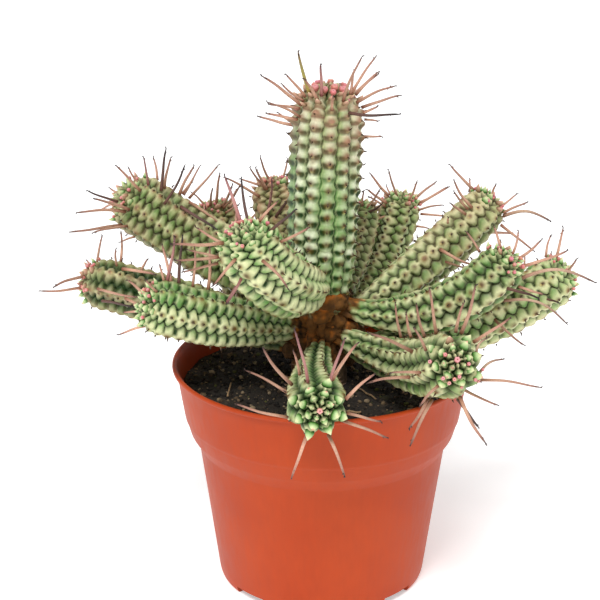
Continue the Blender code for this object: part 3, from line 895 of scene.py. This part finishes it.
def add_bud(mesh, foot, aim, size, luck):
    """A small cup-shaped flower head with five lobes round its mouth."""
    sides = 15
    heights = np.array([-0.5, 0.0, 0.5, 0.95, 1.25, 1.42, 1.36, 1.1]) * size
    radii = np.array([0.30, 0.55, 0.80, 0.84, 0.72, 0.56, 0.34, 0.05]) * size
    first, second = perpendicular(aim)
    angle = circle(sides)
    lobes = 1 + 0.16 * np.cos(5 * angle + 6 * luck[0])
    rings = []
    for height, radius, lobed in zip(heights, radii, smooth(0.3, 1.4, heights / size)):
        reach = radius * (1 + (lobes - 1) * lobed)
        rings.append(foot + aim * height + np.outer(reach * np.cos(angle), first)
                     + np.outer(reach * np.sin(angle), second))
    points = np.vstack(rings + [foot + aim * heights[0], foot + aim * heights[-1]])
    pink = (222, 116 + int(50 * luck[1]), 122 + int(36 * luck[2]))
    ramp = gradient(((0, (150, 120, 90)), (0.3, (206, 120, 112)), (0.6, pink),
                     (0.85, (240, 168, 168)), (1, (150, 60, 66))), np.linspace(0, 1, len(heights)))
    mesh.add(points, tube_faces(len(heights), sides), ring_colours(ramp, sides))


def build_buds(name, skin, material):
    mesh = Build()
    rng = np.random.default_rng(skin.seed + 5)
    listed = list(BUDS[name])
    for _ in range({"main": 4, "front": 0}.get(name, 9)):
        listed.append((rng.uniform(93.5, 99), rng.uniform(0, 360), rng.uniform(0.7, 1.0)))
    for percent, turn, size in listed:
        row = np.interp(percent / 100, skin.share, np.arange(len(skin.share)))
        foot, normal, along, _ = skin.at(np.array(row), np.array(float(turn)))
        if percent >= 100:
            foot, normal = skin.centre[-1], along
        add_bud(mesh, foot - normal * 0.4, unit(normal + 0.35 * along), size, rng.random(3))
    obj = mesh.make("buds_" + name, material, "bud")
    nodes = numbered_nodes(f"bud_{name}_")
    if nodes:
        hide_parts(*nodes)


# ---------------------------------------------------------------- materials


def new_material(name):
    material = bpy.data.materials.new(name)
    material.use_nodes = True
    tree = material.node_tree
    return material, tree, tree.nodes["Principled BSDF"]


def node(tree, kind, inputs=None, **settings):
    made = tree.nodes.new(kind)
    for key, value in settings.items():
        setattr(made, key, value)
    for key, value in (inputs or {}).items():
        if isinstance(value, bpy.types.NodeSocket):
            tree.links.new(value, made.inputs[key])
        else:
            made.inputs[key].default_value = value
    return made


def noise_node(tree, scale, detail=4.0, stretch=(1, 1, 1)):
    place = node(tree, "ShaderNodeTexCoord")
    spread = node(tree, "ShaderNodeMapping", {"Vector": place.outputs["Object"], "Scale": stretch})
    return node(tree, "ShaderNodeTexNoise",
                {"Vector": spread.outputs[0], "Scale": scale, "Detail": detail})


def ranged(tree, value, low, high):
    return node(tree, "ShaderNodeMapRange", {"Value": value, "From Min": 0.3, "From Max": 0.7,
                                             "To Min": low, "To Max": high}).outputs[0]


def bumped(tree, shader, height, bump_mm):
    bump = node(tree, "ShaderNodeBump", {"Height": height, "Distance": bump_mm * MM, "Strength": 1.0})
    tree.links.new(bump.outputs[0], shader.inputs["Normal"])


def coloured(tree, shader, colour, gain):
    """Gives a shader a colour that is made lighter or darker by a gain."""
    scaled = node(tree, "ShaderNodeVectorMath", {0: colour}, operation="SCALE")
    tree.links.new(gain, scaled.inputs["Scale"])
    tree.links.new(scaled.outputs[0], shader.inputs["Base Color"])


def tinted(name, speckle_scale, speckle, roughness, bump_scale, bump_mm, bark_roughness=None):
    """A material coloured by the mesh's own tint, with fine speckles and bumps."""
    material, tree, shader = new_material(name)
    tint = node(tree, "ShaderNodeAttribute", attribute_name="tint")
    fleck = noise_node(tree, speckle_scale, 5.0)
    gain = ranged(tree, fleck.outputs["Fac"], 1 - speckle, 1 + speckle)
    coloured(tree, shader, tint.outputs["Color"], gain)
    sheen = noise_node(tree, speckle_scale * 0.35, 2.0)
    rough = ranged(tree, sheen.outputs["Fac"], roughness - 0.08, roughness + 0.08)
    if bark_roughness:
        bark = node(tree, "ShaderNodeAttribute", attribute_name="bark")
        rough = node(tree, "ShaderNodeMix",
                     {0: bark.outputs["Fac"], 2: rough, 3: bark_roughness}).outputs[0]
    tree.links.new(rough, shader.inputs["Roughness"])
    grain = noise_node(tree, bump_scale)
    bumped(tree, shader, grain.outputs["Fac"], bump_mm)
    return material


def stem_material():
    material = tinted("stem_skin", 900, 0.10, 0.52, 1600, 0.12, bark_roughness=0.9)
    shader = material.node_tree.nodes["Principled BSDF"]
    shader.inputs["Specular IOR Level"].default_value = 0.4
    return material


def pot_material():
    """Satin moulded plastic, a little uneven and scuffed."""
    material, tree, shader = new_material("pot_plastic")
    cloud = noise_node(tree, 26, 3.0)
    scuff = noise_node(tree, 420, 6.0, (1, 1, 0.25))
    ramp = node(tree, "ShaderNodeValToRGB", {"Fac": cloud.outputs["Fac"]})
    for stop, place, colour in zip(ramp.color_ramp.elements, (0.35, 0.65), (POT_DARK, POT_LIGHT)):
        stop.position = place
        stop.color = (*linear(colour), 1)
    gain = ranged(tree, scuff.outputs["Fac"], 0.96, 1.04)
    coloured(tree, shader, ramp.outputs[0], gain)
    tree.links.new(ranged(tree, scuff.outputs["Fac"], 0.42, 0.54), shader.inputs["Roughness"])
    shader.inputs["Specular IOR Level"].default_value = 0.22
    bumped(tree, shader, scuff.outputs["Fac"], 0.03)
    return material


def soil_material():
    return tinted("soil_peat", 700, 0.35, 0.93, 1300, 0.5)


# ---------------------------------------------------------------- pot

POT_PROFILE = (
    (43.6, 0.0), (44.7, 0.25), (45.3, 0.9), (45.7, 2.0), (46.0, 3.5), (50.0, 34.0), (53.9, 62.9),
    (54.15, 63.9), (57.3, 69.0), (57.75, 69.9), (59.2, 75.0), (59.45, 75.7), (59.8, 76.3),
    (60.0, 77.2), (61.4, 86.0), (63.1, 97.2), (63.35, 97.8), (64.3, 98.1), (64.85, 98.5),
    (65.0, 99.0), (64.95, 99.5), (64.6, 99.9), (64.1, 100.0), (63.5, 99.95), (63.1, 99.6),
    (62.8, 99.0), (61.9, 97.8), (58.4, 75.8), (56.2, 69.7), (52.7, 63.9), (44.6, 4.0), (43.2, 2.0),
)
POT_SIDES = 240
DRAIN_SLOTS = 4
DRAIN_SLOT_AZIMUTH = 226.0
DRAIN_SLOT_WIDTH = 16.0
DRAIN_SLOT_TOP = 3.5
DRAIN_SLOT_RADII = (37.0, 50.0)


def refined(profile, longest):
    """A profile with points added so that no step is longer than the given length."""
    points = [profile[0]]
    for (r0, z0), (r1, z1) in zip(profile, profile[1:]):
        steps = max(1, math.ceil(math.hypot(r1 - r0, z1 - z0) / longest))
        points += [(r0 + (r1 - r0) * i / steps, z0 + (z1 - z0) * i / steps)
                   for i in range(1, steps + 1)]
    return np.array(points)


def lathe(profile, sides):
    """(points, faces) of a profile turned about Z and closed flat at both ends."""
    angle = circle(sides)
    rings = np.stack([profile[:, :1] * np.cos(angle), profile[:, :1] * np.sin(angle),
                      profile[:, 1:] + 0 * angle], -1)
    points = np.vstack([rings.reshape(-1, 3), [[0, 0, profile[0, 1]], [0, 0, profile[-1, 1]]]])
    return points, tube_faces(len(profile), sides)


def box_points(turn, low, high):
    """(points in metres, faces) of a box between two corners, turned about Z."""
    corners = np.array([(x, y, z) for z in (low[2], high[2]) for x, y in
                        ((low[0], low[1]), (high[0], low[1]), (high[0], high[1]), (low[0], high[1]))])
    faces = [(3, 2, 1, 0), (4, 5, 6, 7), (0, 1, 5, 4), (1, 2, 6, 5), (2, 3, 7, 6), (3, 0, 4, 7)]
    return spun(corners, turn) * MM, faces


def build_pot(material):
    mesh = Build()
    mesh.add(*lathe(refined(POT_PROFILE, 6.0), POT_SIDES), linear(POT_TINT))
    pot = mesh.make("pot_shell", material, "pot")
    inner, outer = DRAIN_SLOT_RADII
    half = DRAIN_SLOT_WIDTH / 2
    cutters = []
    for slot in range(DRAIN_SLOTS):
        turn = math.radians(DRAIN_SLOT_AZIMUTH + 360 * slot / DRAIN_SLOTS)
        points, faces = box_points(turn, (inner, -half, -2), (outer, half, DRAIN_SLOT_TOP))
        shape = bpy.data.meshes.new("drain_cutter")
        shape.from_pydata(points.tolist(), [], faces)
        cutters.append(new_object("drain_cutter", shape))
        boolean = pot.modifiers.new("drain", "BOOLEAN")
        boolean.operation, boolean.solver, boolean.object = "DIFFERENCE", "EXACT", cutters[-1]
    bpy.context.view_layer.update()
    cut = bpy.data.meshes.new_from_object(pot.evaluated_get(bpy.context.evaluated_depsgraph_get()))
    pot.modifiers.clear()
    pot.data = cut
    for cutter in cutters:
        bpy.data.objects.remove(cutter)
    cut.set_sharp_from_angle(angle=math.radians(40))
    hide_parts("pot")


# ---------------------------------------------------------------- soil

SOIL_LEVEL = 90.0
SOIL_EDGE = 60.4
SOIL_ROWS, SOIL_COLUMNS = 110, 420
CRUMBS, OLD_STALKS = 2600, 14
# The colours of peat crumbs, and the share of the crumbs that has each
CRUMB_COLOURS = ((26, 20, 15), (52, 42, 32), (82, 66, 48), (118, 98, 72), (34, 28, 22),
                 (150, 130, 102), (84, 84, 40))
CRUMB_SHARES = (0.32, 0.22, 0.15, 0.11, 0.08, 0.07, 0.05)
SOIL_SIDE = ((60.0, 88.0), (58.0, 75.8), (52.2, 63.9), (44.1, 4.2), (42.6, 2.4))


def soil_height(x, y):
    flat = np.stack([x, y, 0 * x], -1)
    lumps = 1.3 * rough_noise(flat, 13, SEED + 61, 2) + 0.9 * rough_noise(flat, 4.5, SEED + 62, 3)
    crumbs = 0.5 * np.abs(rough_noise(flat, 1.9, SEED + 63, 2))
    edge = smooth(46, 60, np.hypot(x, y))
    return SOIL_LEVEL + lumps + crumbs - 0.6 * edge


def build_soil(material):
    radius = SOIL_EDGE * (np.arange(1, SOIL_ROWS + 1) / SOIL_ROWS)
    angle = circle(SOIL_COLUMNS)
    x, y = radius[:, None] * np.cos(angle), radius[:, None] * np.sin(angle)
    z = soil_height(x, y)
    points = np.stack([x, y, z], -1)
    side = np.array([[(r * math.cos(a), r * math.sin(a), h) for a in angle] for r, h in SOIL_SIDE])
    rings = np.vstack([points, side])
    flat = np.vstack([rings.reshape(-1, 3), [[0, 0, SOIL_LEVEL], [0, 0, SOIL_SIDE[-1][1]]]])
    tone = rough_noise(flat, 3.0, SEED + 71, 3)
    moss = smooth(0.35, 0.7, rough_noise(flat, 9, SEED + 75, 2))
    colour = np.broadcast_to(linear(PEAT), flat.shape).copy()
    colour = blend_to(colour, PEAT_PALE, 0.5 * smooth(0.1, 0.7, tone))
    colour = blend_to(colour, MOSS, 0.5 * moss)
    mesh = Build()
    mesh.add(flat, [faces[:, ::-1] for faces in tube_faces(len(rings), SOIL_COLUMNS)], colour)
    # Crumbs of peat, bark and grit
    rng = np.random.default_rng(SEED + 80)
    corners, facets = icosphere()
    for _ in range(CRUMBS):
        reach = 59 * math.sqrt(rng.random())
        azimuth = 2 * math.pi * rng.random()
        x, y = reach * math.cos(azimuth), reach * math.sin(azimuth)
        size = 0.35 + 1.25 * rng.random() ** 3.0
        stretch = np.array([1.0, 0.6 + 0.5 * rng.random(), 0.45 + 0.4 * rng.random()]) * size
        spin = rng.random() * 2 * math.pi
        shape = corners * (0.72 + 0.5 * rng.random(len(corners)))[:, None] * stretch
        shape = spun(shape, spin)
        centre = np.array([x, y, float(soil_height(np.array(x), np.array(y))) + 0.25 * size])
        colour = linear(CRUMB_COLOURS[rng.choice(len(CRUMB_SHARES), p=CRUMB_SHARES)]) \
            * (0.8 + 0.4 * rng.random())
        mesh.add(shape + centre, facets, colour)
    # Old stalks lying on the soil
    for _ in range(OLD_STALKS):
        reach, azimuth = 20 + 36 * rng.random(), 2 * math.pi * rng.random()
        x, y = reach * math.cos(azimuth), reach * math.sin(azimuth)
        length, spin = 5 + 12 * rng.random(), 2 * math.pi * rng.random()
        steps = np.linspace(-0.5, 0.5, 6) * length
        px, py = x + steps * math.cos(spin), y + steps * math.sin(spin)
        if np.hypot(px, py).max() >= 58:
            continue
        level = soil_height(px, py).max() + 0.5
        path = np.stack([px, py, np.full(6, level) + 0.3 * np.sin(steps)], -1)
        shape, faces = tube(path, 0.35 + 0.15 * rng.random() + 0 * steps, 6)
        mesh.add(shape, faces, linear(OLD_STALK) * (0.6 + 0.5 * rng.random()))
    soil = mesh.make("soil_surface", material, "soil")
    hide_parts("soil")


def icosphere():
    """A ball of 12 points as (points, triangles)."""
    golden = (1 + 5 ** 0.5) / 2
    points = [(a, b * golden, 0) for a in (-1, 1) for b in (-1, 1)]
    points = points + [(0, a, b) for a, b, _ in points] + [(b, 0, a) for a, b, _ in points]
    points = [np.array(p) / np.linalg.norm(p) for p in points]
    faces = []
    edge = min(np.linalg.norm(points[0] - q) for q in points[1:])

    def near(i, j):
        return np.linalg.norm(points[i] - points[j]) < edge * 1.01

    for i in range(12):
        for j in range(i + 1, 12):
            for k in range(j + 1, 12):
                if near(i, j) and near(j, k) and near(i, k):
                    a, b, c = points[i], points[j], points[k]
                    outward = np.dot(np.cross(b - a, c - a), a + b + c) > 0
                    faces.append((i, j, k) if outward else (i, k, j))
    return np.array(points), np.array(faces)


# ---------------------------------------------------------------- studio

# The camera's numbers and the main sizes of the pot come from a fit to the photograph
CAMERA_PLACE = (-0.0097, -0.643, 0.362)
CAMERA_TILT = 69.95
CAMERA_LENS = 96
KEY_AZIMUTH, KEY_ELEVATION = -106, 56
KEY_STRENGTH = 2.2
KEY_SIZE = 22
FLOOR_REACH = 8.0


def build_studio():
    scene = bpy.context.scene
    scene.view_settings.view_transform = "Standard"
    scene.view_settings.look = "None"
    world = bpy.data.worlds.new("studio")
    scene.world = world
    world.use_nodes = True
    # White round the horizon and dimmer overhead, so that the key light still shapes the stems
    sky = world.node_tree
    place = node(sky, "ShaderNodeTexCoord")
    split = node(sky, "ShaderNodeSeparateXYZ", {"Vector": place.outputs["Generated"]})
    dim = node(sky, "ShaderNodeMapRange", {"Value": split.outputs["Z"], "From Min": 0.08,
                                           "From Max": 0.40, "To Min": 1.0, "To Max": 0.42})
    back = sky.nodes["Background"]
    back.inputs[0].default_value = (1, 1, 1, 1)
    sky.links.new(dim.outputs[0], back.inputs[1])
    mesh = bpy.data.meshes.new("floor")
    corners = [(FLOOR_REACH * x, FLOOR_REACH * y, 0) for x, y in ((-1, -1), (1, -1), (1, 1), (-1, 1))]
    mesh.from_pydata(corners, [], [(0, 1, 2, 3)])
    floor = new_object("floor", mesh)
    material, _, shader = new_material("floor_paper")
    shader.inputs["Base Color"].default_value = (0.96, 0.96, 0.96, 1)
    shader.inputs["Roughness"].default_value = 0.9
    shader.inputs["Emission Color"].default_value = (1, 1, 1, 1)
    shader.inputs["Emission Strength"].default_value = 0.40
    mesh.materials.append(material)
    lamp = bpy.data.lights.new("key", "SUN")
    lamp.energy = KEY_STRENGTH
    lamp.angle = math.radians(KEY_SIZE)
    light = new_object("key", lamp)
    light.rotation_euler = (math.radians(90 - KEY_ELEVATION), 0, math.radians(KEY_AZIMUTH + 90))
    camera_data = bpy.data.cameras.new("camera")
    camera_data.lens = CAMERA_LENS
    camera_data.sensor_width = 36
    camera = new_object("camera", camera_data)
    camera.location = CAMERA_PLACE
    camera.rotation_euler = (math.radians(CAMERA_TILT), 0, 0)
    scene.camera = camera


SKIN_STEP, MAIN_SKIN_STEP, QUICK_SKIN_STEP = 0.40, 0.42, 0.62
# How far an offset's skin goes on into the trunk
ROOT_DEPTH = 5.0


def build_plant():
    skin_material = stem_material()
    spine_material = tinted("dried_stalk", 1500, 0.14, 0.62, 2200, 0.08)
    bud_material = tinted("bud_pink", 1200, 0.10, 0.5, 1500, 0.05)
    for name in STEMS:
        main = name == "main"
        spacing = MAIN_SKIN_STEP if main else SKIN_STEP
        start = 0.0 if main else -ROOT_DEPTH / STEMS[name]["length"]
        skin, mesh = grow_skin(name, spacing, start)
        add_trim(skin, mesh, 0.8 if main else 0.55)
        if main:
            add_burls(mesh)
        obj = mesh.make("skin_" + name, skin_material, "stem")
        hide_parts("main_stem" if main else "stem_" + name)
        build_spines(name, skin, spine_material)
        build_buds(name, skin, bud_material)


build_studio()
build_pot(pot_material())
build_soil(soil_material())
build_plant()
